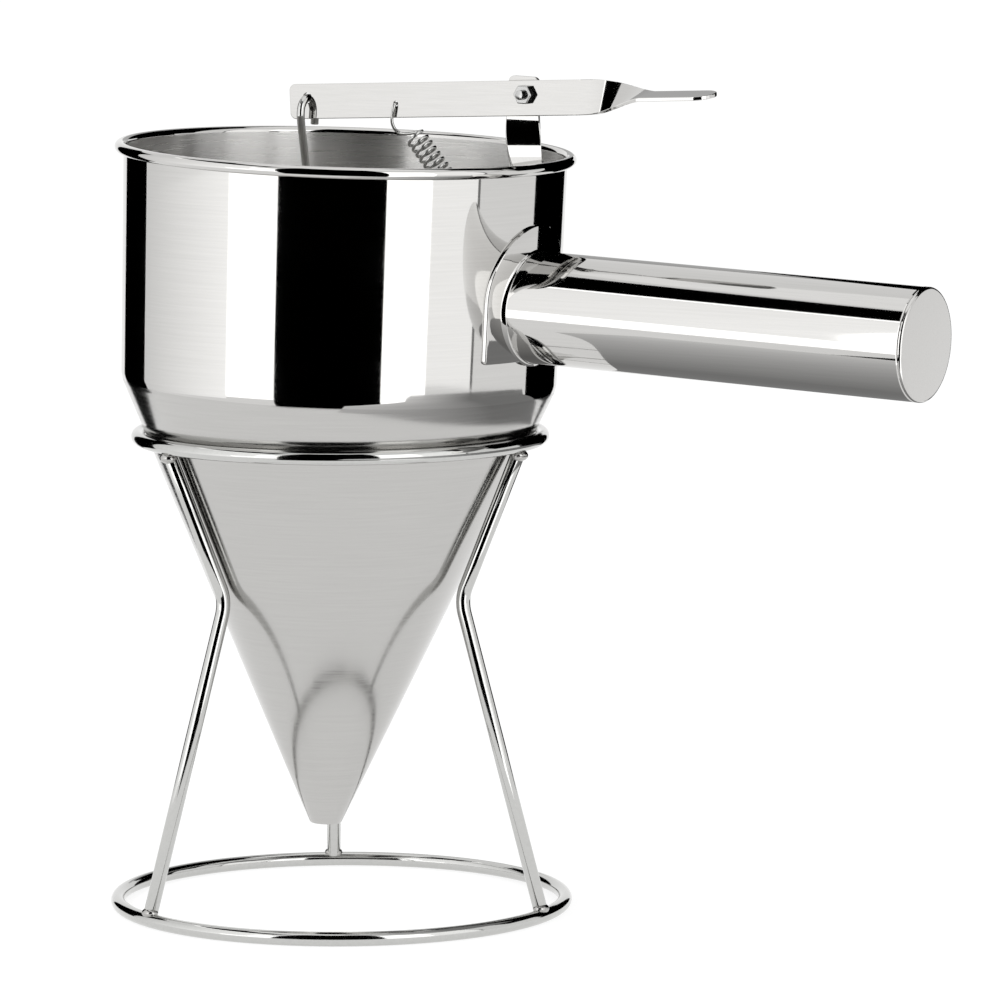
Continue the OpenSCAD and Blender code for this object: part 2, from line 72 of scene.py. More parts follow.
# Curved cards that only the metal sees: name, start and end (degrees from the camera), radius, bottom, top,
# radius from which the same card also lies on the floor, glow, and its other end's glow where it fades
CARDS = (
    ("left_dark", -153, -121, RING, LYING, 0.75, 0.42, BLACK),
    ("left_grey", -120, -60, RING, LYING, 0.17, 0.50, 0.95, 1.55),
    ("left_grey_high", -120, -46, RING, 0.17, 1.07, None, 0.95, 1.50),
    ("left_high_white", -125, -45, RING, 1.08, 1.15, None, WHITE),
    ("left_high_dark", -125, -45, RING, 1.16, 2.05, None, BLACK),
    ("left_white", -60, -33.5, RING, LYING, 0.17, 0.66, WHITE),
    ("left_white_high", -46, -33.5, RING, 0.17, 0.69, None, WHITE),
    ("front_dark", -33.5, 20.5, RING, LYING, 4.00, 0.27, BLACK),
    ("right_white", 20.5, 44, RING, LYING, 0.95, 0.27, WHITE),
    ("right_grey", 44, 70, RING, LYING, 0.95, None, 1.45),
    ("right_line", 70, 71.5, RING, LYING, 0.95, None, 0.25),
    ("right_dark", 109.6, 152, 0.50, LYING, 0.75, None, BLACK),
    ("right_high_dark", 92, 168, RING, 0.36, 1.90, None, BLACK),
    ("back_grey", 168, 182, RING, 0.30, 0.75, None, 0.50),
)

# Soft lamps: name, degrees from the camera, distance, height, size, power; and the height that they aim at
LAMPS = (("lamp_left", -70, 1.5, 1.7, 1.2, 9.0), ("lamp_right", 60, 1.6, 1.6, 1.2, 6.0))
LAMP_AIM = 0.12


# ---- Colours and nodes ----

def linear(hex_colour):
    """An sRGB hex colour as linear red, green, blue and alpha."""
    parts = [int(hex_colour[i:i + 2], 16) / 255 for i in (1, 3, 5)]
    return tuple(p / 12.92 if p <= 0.04045 else ((p + 0.055) / 1.055) ** 2.4 for p in parts) + (1.0,)


def length(name, description, default, low=0.0, high=1.0):
    """A size in metres that a user can change."""
    return FloatProperty(name=name, description=description, default=default, min=low, max=high,
                         precision=5, unit="LENGTH")


def angle(name, description, degrees):
    """An angle that a user can change, given in degrees."""
    return FloatProperty(name=name, description=description, default=math.radians(degrees), unit="ROTATION")


def place(name, description, default):
    """A place in metres that a user can change."""
    return FloatVectorProperty(name=name, description=description, default=default, subtype="TRANSLATION",
                               unit="LENGTH")


def colour(name, description, hex_colour):
    """A colour that a user can change, given as sRGB hex."""
    return FloatVectorProperty(name=name, description=description, default=linear(hex_colour)[:3],
                               min=0.0, max=1.0, size=3, subtype="COLOR")


def add(tree, kind, values=None, links=None, **settings):
    """Adds one node with its settings, its socket values, and its links from sockets or nodes' first ones."""
    node = tree.nodes.new("ShaderNode" + kind)
    for name, value in settings.items():
        setattr(node, name, value)
    for socket, value in (values or {}).items():
        node.inputs[socket].default_value = value
    for socket, source in (links or {}).items():
        first = source.outputs[0] if isinstance(source, bpy.types.Node) else source
        tree.links.new(first, node.inputs[socket])
    return node


# ---- Sizes and colours that a user would change ----

class HopperSizes(bpy.types.PropertyGroup):
    rim_d: length("Rim", "Outer diameter over the rolled rim", 0.145)
    bead_d: length("Rim bead", "Diameter of the rolled rim", 0.0036)
    sheet_t: length("Sheet", "Thickness of the sheet", 0.0008)
    body_h: length("Body", "Height from the fold to the middle of the rim", 0.072)
    draft: angle("Draft", "Draft of the straight body", 0.85)
    cone_h: length("Cone", "Height from the cut tip to the fold", 0.1416)
    tip_d: length("Tip", "Outer diameter of the cut tip", 0.0102)
    fold_r: length("Fold radius", "Radius of the fold between body and cone", 0.010)
    lean: angle("Lean", "Lean of the hopper towards its handle", 2.2)
    tip: place("Tip's place", "Centre of the cut tip over the table", (-0.0058669, 0.0, 0.0262096))


class HandleSizes(bpy.types.PropertyGroup):
    tube_d: length("Tube", "Outer diameter of the handle's tube", 0.035)
    wall: length("Tube wall", "Wall of the handle's tube", 0.0012)
    reach: length("Reach", "Distance from the hopper's axis to the handle's outer face", 0.205)
    drop: length("Drop", "Depth of the handle's axis below the rim", 0.043)
    cap_t: length("Cap", "Thickness of the end cap's disc", 0.0016)
    cap_dome: length("Cap dome", "Height of the end cap's dome", 0.0005)
    saddle_r: length("Saddle radius", "Radius of the saddle plate's arch", 0.0235)
    saddle_rise: length("Saddle rise", "Height of the arch's centre above the handle's axis", 0.002)
    saddle_t: length("Saddle", "Thickness of the saddle plate", 0.0012)
    weld: length("Weld", "Width of the weld around the tube's root", 0.0014)


class StandSizes(bpy.types.PropertyGroup):
    wire_d: length("Wire", "Diameter of the stand's wire", 0.0045)
    base_d: length("Base ring", "Diameter of the base ring at its wire's middle", 0.142)
    seat_d: length("Seat ring", "Diameter of the seat ring at its wire's middle", 0.1274)
    height: length("Height", "Height of the stand", 0.1526)
    bend_z: length("Bend height", "Height of the bend in each leg", 0.1006)
    bend_in: length("Bend place", "Distance of the bend from the stand's axis", 0.042613)
    top_in: length("Leg's top", "Distance of each leg's top from the stand's axis", 0.06245)
    bend_reach: length("Bend reach", "Length of wire that bends, on each side of the bend", 0.00476)
    turn: angle("Turn", "Turn of the legs from the handle's side", 3)


class LeverSizes(bpy.types.PropertyGroup):
    height: length("Height", "Height of the flat bar", 0.011)
    thickness: length("Thickness", "Thickness of the bar", 0.0012)
    corner: length("Corner", "Radius of the corners at the bar's end", 0.002)
    hole_rise: length("Hole rise", "Height of the pivot's hole above the bar's middle", 0.00115)
    rod_arm: length("Rod arm", "Distance from the pivot to the rod's hole", 0.0787)
    rod_hole: length("Rod hole", "Radius of the rod's hole", 0.00165)
    margin: length("Margin", "Distance from the rod's hole to the bar's end", 0.0065)
    spring_arm: length("Spring arm", "Distance from the pivot to the spring's hole", 0.0466)
    twist_start: length("Twist start", "Distance from the pivot to the twist", 0.0182)
    twist_len: length("Twist", "Length of the twist", 0.024)
    twist_turn: angle("Twist's turn", "Turn of the tab from the bar", 82)
    tab_len: length("Tab", "Length of the flat thumb tab", 0.0234)
    rise: angle("Rise", "Rise of the closed lever towards its tab", 4.7)


class BracketSizes(bpy.types.PropertyGroup):
    width: length("Width", "Width of the strip", 0.0108)
    thickness: length("Thickness", "Thickness of the strip", 0.0012)
    corner: length("Corner", "Radius of the corners at the strip's ends", 0.002)
    rise: length("Rise", "Height of the strip's top above the pivot", 0.0054)
    shift: length("Shift", "Distance of the strip's top from the pivot, away from the wall", 0.0021)
    behind: length("Behind", "Distance of the strip's middle behind the lever's", 0.00232)
    twist_start: length("Twist start", "Depth of the twist's start below the pivot", 0.0049)
    twist_end: length("Twist end", "Depth of the twist's end below the pivot", 0.0306)
    leg_shift: length("Leg", "Shift of the strip's leg towards the wall", 0.003427)
    foot_drop: length("Foot", "Depth of the foot's upper face below the pivot", 0.0536)
    foot_reach: length("Foot reach", "Reach of the foot from the wall", 0.0086)
    foot_bend: length("Foot bend", "Radius of the bend above the foot", 0.0014)
    foot_hole: length("Foot hole", "Distance of the loop's hole from the foot's end", 0.0028)
    bolt_d: length("Bolt", "Diameter of the pivot bolt", 0.003)
    bolt_end: length("Bolt's end", "Length of the bolt beyond its nut", 0.0016)
    pitch: length("Thread", "Pitch of the bolt's thread", 0.0005)
    head_d: length("Head", "Diameter of the bolt's head", 0.0056)
    head_h: length("Head height", "Height of the bolt's head", 0.002)
    nut_af: length("Nut", "Width of the nut across its flats", 0.0055)
    nut_t: length("Nut height", "Thickness of the nut", 0.0024)
    nut_seat: length("Nut seat", "Distance of the nut's seat in front of the lever's middle", 0.00066)


class RodSizes(bpy.types.PropertyGroup):
    wire_d: length("Rod", "Diameter of the rod", 0.0025)
    hook_r: length("Hook", "Radius of the hook at the wire's middle", 0.0043)
    hook_leg: length("Hook's leg", "Length of the hook's free leg", 0.0042)
    neck: length("Neck", "Height of the slanted neck", 0.016)
    socket_z: length("Socket", "Height of the rod's end above the cut tip", 0.005867)


class SpringSizes(bpy.types.PropertyGroup):
    wire_d: length("Wire", "Diameter of the spring's wire", 0.001)
    coil_d: length("Coils", "Outer diameter of the coils", 0.0072)
    coils: IntProperty(name="Number of coils", description="Number of coils", default=19, min=6, max=30)
    hook: length("Hook", "Length of the hook between the lever and the coils", 0.0108)
    tail: length("Tail", "Length of the tail between the coils and the loop", 0.009)
    loop_r: length("Loop", "Radius of the loop in the foot", 0.00185)
    hole_r: length("Hole", "Radius of the spring's holes in the lever and the foot", 0.0009)
    hole_drop: length("Hole's drop", "Depth of the spring's hole below the pivot's level", 0.00225)
    loop: place("Loop's place", "Centre of the loop from the pivot", (-0.003623, 0.0, -0.0542))


class Finishes(bpy.types.PropertyGroup):
    sheet: colour("Polished sheet", "Colour of the mirror-polished sheet", "#C8C7C5")
    spun: colour("Spun cone", "Colour of the finer satin of the spun cone", "#BEBDBB")
    # Lighter than the sheet, though it is the same steel: painted light for the hopper's shaded hollow
    inside: colour("Inside", "Colour of the brushed inside of the hopper", "#E8E7E5")
    wire: colour("Stand wire", "Colour of the drawn and tumbled stand wire and rod", "#C4C4C2")
    small: colour("Small pieces", "Colour of the nut, the bolt, the washer and the stopper", "#B4B4B3")
    spring: colour("Spring wire", "Colour of the drawn spring wire", "#C6C6C4")
    weld: colour("Weld beads", "Colour of the brushed weld beads", "#B4B3B1")
    floor: colour("Floor", "Colour of the studio floor", "#F4F4F2")


class StudioSizes(bpy.types.PropertyGroup):
    floor_r: length("Floor", "Radius of the floor", 14.0, 1.0, 40.0)
    facing: angle("Facing", "Direction from the object to the camera, from +X towards +Y", -59.1)
    lens: FloatProperty(name="Lens", description="Focal length in millimetres on a 36 mm sensor",
                        default=242.41, min=20, max=400, unit="CAMERA")
    camera: place("Camera", "Place of the camera", (1.08506, -1.81298, 0.3893))
    look: FloatVectorProperty(name="Look", description="Direction that the camera looks in",
                              default=(-0.48920, 0.86359, -0.12209), subtype="DIRECTION")


GROUPS = {
    "hopper": HopperSizes, "handle": HandleSizes, "stand": StandSizes, "lever": LeverSizes,
    "bracket": BracketSizes, "rod": RodSizes, "spring": SpringSizes, "finish": Finishes,
    "studio": StudioSizes,
}


def sizes(name):
    """The property group of that name on the scene."""
    return getattr(bpy.context.scene, "dispenser_" + name)


# ---- Places ----

def shift(x=0.0, y=0.0, z=0.0):
    return Matrix.Translation((x, y, z))


def turned(turn, axis):
    """A turn about an axis, in radians."""
    return Matrix.Rotation(turn, 4, axis)


# Turns what was made along Z to lie along +X
ALONG_X = turned(math.pi / 2, "Y")


def hopper_frame():
    """The hopper's own frame: upright on its cut tip, with the handle along +X."""
    hopper = sizes("hopper")
    return shift(*hopper.tip) @ turned(hopper.lean, "Y")


def rim_height():
    hopper = sizes("hopper")
    return hopper.cone_h + hopper.body_h


def wall_radius(z):
    """Outer radius of the straight body at a height in the hopper's frame."""
    hopper = sizes("hopper")
    top = hopper.rim_d / 2 - hopper.bead_d + hopper.sheet_t
    return top - (rim_height() - z) * math.tan(hopper.draft)


def joint_place(name):
    """Where a joint of the part turns, in metres."""
    found = [j for j in frame["joints"] if j["name"] == name]
    if not found:
        raise RuntimeError("the part has no joint named " + name)
    return Vector(found[0]["pos_m"])


def pivot_frame():
    """The hopper's axes, at the lever's pivot."""
    return shift(*joint_place("lever_pivot")) @ turned(sizes("hopper").lean, "Y")


def lever_frame():
    """The closed lever's axes, at its pivot: +X towards the thumb tab."""
    return pivot_frame() @ turned(-sizes("lever").rise, "Y")


# ---- Shapes ----

def only(kind, grown):
    """The verts, edges or faces among what an extrusion made."""
    return [g for g in grown["geom"] if isinstance(g, kind)]


def arc(centre, radius, start, end, steps):
    """Points on an arc, angles in degrees."""
    turns = [math.radians(start + (end - start) * i / steps) for i in range(steps + 1)]
    return [(centre[0] + radius * math.cos(a), centre[1] + radius * math.sin(a)) for a in turns]


def spun(profile, steps, closed=True):
    """A line of points (radius, height), spun once around Z."""
    bm = bmesh.new()
    verts = [bm.verts.new((r, 0.0, z)) for r, z in profile]
    pairs = zip(verts, verts[1:] + verts[:1] if closed else verts[1:])
    edges = [bm.edges.new(pair) for pair in pairs]
    bmesh.ops.spin(bm, geom=verts + edges, cent=(0, 0, 0), axis=(0, 0, 1), angle=2 * math.pi,
                   steps=steps, use_merge=True, use_duplicate=False)
    bmesh.ops.remove_doubles(bm, verts=bm.verts, dist=TOUCH)
    return bm


def disc(radius, segments, matrix=Matrix()):
    """A flat disc, or a polygon."""
    bm = bmesh.new()
    bmesh.ops.create_circle(bm, cap_ends=True, segments=segments, radius=radius, matrix=matrix)
    return bm


def round_corners(points, reach, steps=6):
    """A path whose inner corners are rounded over a reach on each side."""
    points = [Vector(p) for p in points]
    path = [points[0]]
    for before, corner, after in zip(points, points[1:], points[2:]):
        to_before, to_after = before - corner, after - corner
        a = corner + to_before.normalized() * min(reach, to_before.length * 0.49)
        b = corner + to_after.normalized() * min(reach, to_after.length * 0.49)
        for i in range(steps + 1):
            t = i / steps
            path.append(a * (1 - t) ** 2 + corner * 2 * t * (1 - t) + b * t ** 2)
    path.append(points[-1])
    return path


def wire(path, radius, sides):
    """A round wire along a path of points, with slightly domed ends."""
    points = [path[0]]
    for p in path[1:]:
        if (p - points[-1]).length > TOUCH:
            points.append(p)
    bm = bmesh.new()
    heading = (points[1] - points[0]).normalized()
    start = shift(*points[0]) @ heading.to_track_quat("Z", "Y").to_matrix().to_4x4()
    ring = bmesh.ops.create_circle(bm, cap_ends=False, segments=sides, radius=radius, matrix=start)["verts"]
    edges = list(dict.fromkeys(e for v in ring for e in v.link_edges))
    ends = [(edges, points[0], -heading)]
    for before, point, after in zip(points, points[1:], points[2:] + points[-1:]):
        ahead = (after - point).normalized() if after != point else heading
        grown = bmesh.ops.extrude_edge_only(bm, edges=edges)
        verts, edges = only(BMVert, grown), only(BMEdge, grown)
        bmesh.ops.translate(bm, vec=point - before, verts=verts)
        turn = heading.rotation_difference(ahead).to_matrix().to_4x4()
        bmesh.ops.transform(bm, matrix=turn, verts=verts, space=shift(*-point))
        heading = ahead
    ends.append((edges, points[-1], heading))
    # Each end is drawn in twice, to a shallow dome
    for rim, end, outward in ends:
        for size in (0.92, 0.70):
            grown = bmesh.ops.extrude_edge_only(bm, edges=rim)
            verts, rim = only(BMVert, grown), only(BMEdge, grown)
            bmesh.ops.scale(bm, vec=(size, size, size), verts=verts, space=shift(*-end))
            bmesh.ops.translate(bm, vec=outward * radius * 0.10, verts=verts)
        bmesh.ops.contextual_create(bm, geom=rim)
    return bm


def flat_strip(places, width, thickness):
    """A flat strip through a line of places: width along their X, thickness along their Y."""
    bm = bmesh.new()
    w, t = width / 2, thickness / 2
    corners = [bm.verts.new(places[0] @ Vector((x, y, 0))) for x, y in ((-w, -t), (w, -t), (w, t), (-w, t))]
    face = bm.faces.new(corners)
    for before, after in zip(places, places[1:]):
        grown = bmesh.ops.extrude_face_region(bm, geom=[face])
        old, face = face, only(BMFace, grown)[0]
        bmesh.ops.transform(bm, matrix=after @ before.inverted(), verts=only(BMVert, grown))
        if old.is_valid and before is not places[0]:
            bmesh.ops.delete(bm, geom=[old], context="FACES_ONLY")
    bmesh.ops.recalc_face_normals(bm, faces=bm.faces)
    return bm


def edges_near(bm, test, least_angle=60):
    """Sharp edges that pass a test on the edge and its middle."""
    found = []
    for edge in bm.edges:
        if len(edge.link_faces) == 2 and math.degrees(edge.calc_face_angle(0)) > least_angle:
            middle = (edge.verts[0].co + edge.verts[1].co) / 2
            if test(edge, middle):
                found.append(edge)
    return found


def across(edge, axis):
    """Length of an edge along one axis."""
    return abs(edge.verts[0].co[axis] - edge.verts[1].co[axis])


def bevel(bm, geom, offset, segments, affect="EDGES"):
    bmesh.ops.bevel(bm, geom=geom, offset=offset, offset_type="OFFSET", segments=segments, profile=0.5,
                    affect=affect, clamp_overlap=True, material=-1)


def ease_edges(bm, offset):
    """Takes the sharpness off all the edges that are left."""
    bevel(bm, edges_near(bm, lambda e, m: True), offset, 2)


def linked(name, bm, materials=()):
    """A new object on the scene, with its mesh from a bmesh."""
    mesh = bpy.data.meshes.new(name)
    bm.to_mesh(mesh)
    bm.free()
    for material in materials:
        mesh.materials.append(material)
    made = bpy.data.objects.new(name, mesh)
    bpy.context.scene.collection.objects.link(made)
    return made


def shade(mesh, sharp_from):
    mesh.shade_smooth()
    mesh.set_sharp_from_angle(angle=math.radians(sharp_from))


def finished(name, bm, frame_in, body, node, kinds, sharp_from=40):
    """Turns a bmesh into a piece that stands for a CAD node and, where a body is named, rides on it."""
    bmesh.ops.transform(bm, matrix=frame_in, verts=bm.verts)
    bmesh.ops.recalc_face_normals(bm, faces=bm.faces)
    made = finishes()
    piece = linked(name, bm, [made[kind] for kind in kinds])
    shade(piece.data, sharp_from)
    if body:
        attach(piece, body)
    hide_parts(node)
    return piece


def drill(piece, frame_in, holes):
    """Cuts round holes along Y through a strip: (x, z, radius) in its frame."""
    for x, z, radius in holes:
        bm = bmesh.new()
        bmesh.ops.create_cone(bm, cap_ends=True, segments=40, radius1=radius, radius2=radius, depth=0.02,
                              matrix=frame_in @ shift(x, 0, z) @ turned(math.pi / 2, "X"))
        tool = linked("drill", bm)
        cut = piece.modifiers.new("hole", "BOOLEAN")
        cut.operation = "DIFFERENCE"
        cut.solver = "EXACT"
        cut.object = tool
        bpy.context.view_layer.update()
        whole = bpy.data.meshes.new_from_object(piece.evaluated_get(bpy.context.evaluated_depsgraph_get()))
        piece.modifiers.remove(cut)
        bpy.data.objects.remove(tool)
        old, piece.data = piece.data, whole
        whole.name = piece.name
        bpy.data.meshes.remove(old)
    shade(piece.data, 20)


# ---- Finishes ----

def node_material(name):
    """A new material with an empty tree."""
    made = bpy.data.materials.new(name)
    made.use_nodes = True
    made.node_tree.nodes.clear()
    return made, made.node_tree


def ranged(tree, source, to_min, to_max, from_min=0.0, from_max=1.0):
    """Turns one range of a value into another."""
    return add(tree, "MapRange", {"From Min": from_min, "From Max": from_max, "To Min": to_min,
                                  "To Max": to_max}, {"Value": source})


def steel(name, base, rough, lines, line_depth, dull=0.03, tint=0.05, brushed=0.0):
    """Stainless steel: a metal whose polish leaves fine lines and faint dull patches.

    rough is the mirror's own roughness; lines is the size of a polishing line in millimetres along X, Y
    and Z; line_depth is its depth in micrometres. brushed stretches reflections upright, across lines that
    run around the piece.
    """
    made = bpy.data.materials.get(name)
    if made:
        return made
    made, tree = node_material(name)
    spot = add(tree, "TexCoord").outputs["Object"]
    fine = add(tree, "Mapping", {"Scale": [1000 / s for s in lines]}, {"Vector": spot})
    streaks = add(tree, "TexNoise", {"Scale": 1.0, "Detail": 3.0, "Roughness": 0.6}, {"Vector": fine})
    # Handling leaves dull patches of about 25 mm in the polish
    patches = add(tree, "TexNoise", {"Scale": 40.0, "Detail": 4.0, "Roughness": 0.55}, {"Vector": spot})
    roughness = add(tree, "Math", None, {0: ranged(tree, patches, 0.0, dull, 0.45, 0.75),
                                         1: ranged(tree, streaks, rough * 0.75, rough * 1.3, 0.3, 0.7)},
                    operation="ADD")
    toned = add(tree, "VectorMath", {0: base[:3]}, {"Scale": ranged(tree, streaks, 1 - tint, 1.0, 0.3, 0.7)},
                operation="SCALE")
    bump = add(tree, "Bump", {"Strength": 1.0, "Distance": line_depth * MICRON}, {"Height": streaks})
    links = {"Base Color": toned, "Roughness": roughness, "Normal": bump}
    if brushed:
        links["Tangent"] = add(tree, "CombineXYZ", {"Z": 1.0})
    shader = add(tree, "BsdfPrincipled", {"Metallic": 1.0, "Anisotropic": brushed}, links)
    add(tree, "OutputMaterial", None, {"Surface": shader})
    return made


def finishes():
    """The finishes of the real pieces."""
    hues = sizes("finish")
    return {
        # Cold-rolled 18/8 sheet, buffed to a mirror: crisp reflections with faint lines around the body
        "sheet": steel("mirror_buffed_stainless_sheet", hues.sheet, 0.035, (30, 30, 0.6), 0.5),
        # The same sheet where the cone was spun and left a little softer
        "spun": steel("satin_spun_stainless_cone", hues.spun, 0.13, (24, 24, 0.5), 1.5),
        # The hopper's inside, brushed around and polished less: reflections stretch into upright bands. Its
        # colour is lighter than the sheet's, painted light that lifts its shaded hollow
        "inside": steel("brushed_stainless_inside_painted_lighter", hues.inside, 0.30, (20, 20, 0.4), 0.4, 0.02, 0.06,
                        brushed=1.0),
        # Drawn along the handle and buffed: lines run along the tube
        "tube": steel("mirror_buffed_stainless_tube", hues.sheet, 0.035, (60, 0.7, 0.7), 0.5),
        # Sheared strip, buffed flat: short lines along it
        "strip": steel("buffed_stainless_strip", hues.sheet, 0.05, (14, 0.5, 0.5), 0.8),
        # Drawn wire, tumbled bright: slightly pebbled
        "wire": steel("tumbled_stainless_wire", hues.wire, 0.07, (1.2, 1.2, 1.2), 2.0),
        # Cold-headed fasteners: duller and a little darker
        "small": steel("cold_headed_stainless", hues.small, 0.16, (0.8, 0.8, 0.8), 3.0),
        # Hard-drawn spring wire: dull, with die lines
        "spring": steel("hard_drawn_spring_wire", hues.spring, 0.12, (0.7, 0.7, 0.7), 3.0),
        # Spot welds, brushed off: rippled and slightly straw-coloured
        "weld": steel("brushed_weld_bead", hues.weld, 0.16, (1.2, 1.2, 1.2), 20.0, 0.05, 0.08),
    }


# ---- Pieces ----

class DISPENSER_OT_hopper(bpy.types.Operator):
    """Spins the hopper: cone, fold, straight body and rolled rim"""
    bl_idname = "dispenser.hopper"
    bl_label = "Hopper"

    def execute(self, context):
        hopper = sizes("hopper")
        top, bead, tip = rim_height(), hopper.bead_d / 2, hopper.tip_d / 2
        inner = hopper.rim_d / 2 - hopper.bead_d
        outer = inner + hopper.sheet_t
        fold_x = wall_radius(hopper.cone_h)
        slope = math.atan((fold_x - tip) / hopper.cone_h)
        reach = hopper.fold_r * math.tan((slope - hopper.draft) / 2)
        mid = (fold_x - reach * math.sin(slope) - hopper.fold_r * math.cos(slope),
               hopper.cone_h - reach * math.cos(slope) + hopper.fold_r * math.sin(slope))
        bend = (mid[0] + hopper.fold_r * math.cos(slope), mid[1] - hopper.fold_r * math.sin(slope))
        low, high = -math.degrees(slope), -math.degrees(hopper.draft)
        # Chamfer of the cut tip, and the crevice between the wall and the curl: width, mouth, closed end
        cut, crevice, mouth, closed = 0.0003, 0.0003, top - 0.9 * bead, top - 0.35 * bead
        quarters = (0.25, 0.5, 0.75)
        profile = [(tip - cut, 0), (tip, cut)]
        profile += [(tip + (bend[0] - tip) * i / 8, bend[1] * i / 8) for i in range(1, 8)]
        profile += arc(mid, hopper.fold_r, low, high, 10)
        profile += [(wall_radius(z), z) for z in [top * k + hopper.cone_h * (1 - k) for k in quarters]]
        profile += [(outer, mouth), (outer, closed), (outer + crevice, closed),
                    (outer + crevice, top - 0.8 * bead)]
        # The curl over to the inside, and the inner wall down to the tip
        profile += arc((inner + bead, top), bead, -112, 180, 26)
        for k in quarters:
            depth = (top - hopper.cone_h) * k
            profile.append((inner - depth * math.tan(hopper.draft), top - depth))
        profile += arc(mid, hopper.fold_r - hopper.sheet_t, high, low, 10)
        profile.append((tip - hopper.sheet_t / math.cos(slope), cut))
        bm = spun(profile, 192)
        for face in bm.faces:
            middle = face.calc_center_median()
            cone = middle.z < hopper.cone_h - 0.0005
            outside = tip + middle.z * math.tan(slope) if middle.z <= hopper.cone_h else wall_radius(middle.z)
            inside = math.hypot(middle.x, middle.y) < min(inner + 0.0001, outside - hopper.sheet_t / 2)
            face.material_index = 2 if inside and middle.z < top - bead / 4 else 1 if cone else 0
        finished("hopper_shell", bm, hopper_frame(), "hopper_unit", "hopper",
                 ("sheet", "spun", "inside"))
        return {"FINISHED"}


class DISPENSER_OT_handle(bpy.types.Operator):
    """Makes the saddle plate, the tube with its weld, and the end cap"""
    bl_idname = "dispenser.handle"
    bl_label = "Handle"

    def execute(self, context):
        handle = sizes("handle")
        axis_z = rim_height() - handle.drop
        self.saddle(handle, axis_z)
        self.tube(handle, axis_z)
        self.cap(handle, axis_z)
        return {"FINISHED"}

    @staticmethod
    def front(y, z, proud):
        """X of the body's round face, grown by proud."""
        return math.sqrt((wall_radius(z) + proud) ** 2 - y * y)

    def saddle(self, handle, axis_z):
        half, thick = handle.saddle_r, handle.saddle_t
        low, strip_w, corner, rounding, seam = axis_z - 0.7 * half, 0.0015, 0.0012, 0.0004, 0.0001
        outline = arc((0, axis_z + handle.saddle_rise), half, 0, 180, 48) + [(-half, low), (half, low)]
        bm = bmesh.new()
        bm.faces.new([bm.verts.new((0, y, z)) for y, z in outline])
        bevel(bm, [v for v in bm.verts if v.co.z < low + TOUCH], corner, 5, "VERTICES")
        # Cut into narrow strips, so that the plate can follow the round wall
        lines = int(2 * half / strip_w)
        for i in range(1, lines):
            bmesh.ops.bisect_plane(bm, geom=bm.verts[:] + bm.edges[:] + bm.faces[:], dist=TOUCH,
                                   plane_co=(0, -half + 2 * half * i / lines, 0), plane_no=(0, 1, 0))
        bmesh.ops.solidify(bm, geom=bm.faces[:], thickness=thick)
        shallow = min(v.co.x for v in bm.verts)
        for v in bm.verts:
            v.co.x = self.front(v.co.y, v.co.z, seam if v.co.x < shallow + thick / 2 else thick)
        bmesh.ops.recalc_face_normals(bm, faces=bm.faces)
        bevel(bm, edges_near(bm, lambda e, m: m.x > self.front(m.y, m.z, thick * 0.8)), rounding, 3)
        finished("handle_saddle_plate", bm, hopper_frame(), "hopper_unit", "handle_saddle",
                 ("sheet",), 20)

    def tube(self, handle, axis_z):
        r, bore = handle.tube_d / 2, handle.tube_d / 2 - handle.wall
        face_x = self.front(0, axis_z, handle.saddle_t)
        span = handle.reach - handle.cap_t - handle.cap_dome - face_x
        # The hollow of the weld around the root: how far it stands proud, and the distance along the tube
        weld_end, chamfer, root, seam = 0.0011, 0.0003, 0.003, 0.0001
        weld = ((0.0009, 0), (0.00045, 0.00025), (0.00018, 0.0006), (0, weld_end), (0, handle.weld),
                (0, 0.0020))
        profile = [(bore, 0)] + [(r + proud, x) for proud, x in weld]
        profile += [(r, weld_end + (span - weld_end - chamfer) * k / 6) for k in range(1, 6)]
        profile += [(r, span - 3 * chamfer), (r, span - chamfer), (r - chamfer, span), (bore, span)]
        bm = spun(profile, 128)
        bmesh.ops.transform(bm, matrix=shift(z=axis_z) @ ALONG_X, verts=bm.verts)
        # The root follows the saddle's round face, and the rest of the tube stays straight
        for v in bm.verts:
            share = min(1, max(0, v.co.x / span)) ** 0.5
            local = self.front(v.co.y, v.co.z, handle.saddle_t - seam)
            v.co.x += local * (1 - share) + face_x * share if v.co.x < root else face_x
        finished("handle_tube_welded", bm, hopper_frame(), "hopper_unit", "handle_tube",
                 ("tube",))

    def cap(self, handle, axis_z):
        r, edge = handle.tube_d / 2, 0.6 * handle.cap_t
        start = handle.reach - handle.cap_t - handle.cap_dome
        flat = r - edge
        dome_r = (flat ** 2 + handle.cap_dome ** 2) / (2 * handle.cap_dome)
        lean = math.degrees(math.asin(flat / dome_r))
        # A shallow groove is left between the tube's end and the cap's rolled edge
        groove, depth, chamfer = 0.0008, 0.00015, 0.0002
        profile = [(0, 0), (r - groove, 0), (r - groove, depth), (r - chamfer, depth), (r, depth + chamfer)]
        profile += arc((flat, handle.cap_t - edge), edge, 0, 90, 10)
        profile += arc((0, handle.cap_t + handle.cap_dome - dome_r), dome_r, 90 - lean, 90, 10)[1:]
        bm = spun(profile, 128, closed=False)
        finished("handle_cap_pressed", bm, hopper_frame() @ shift(start, 0, axis_z) @ ALONG_X, "hopper_unit",
                 "handle_end_cap", ("strip",))


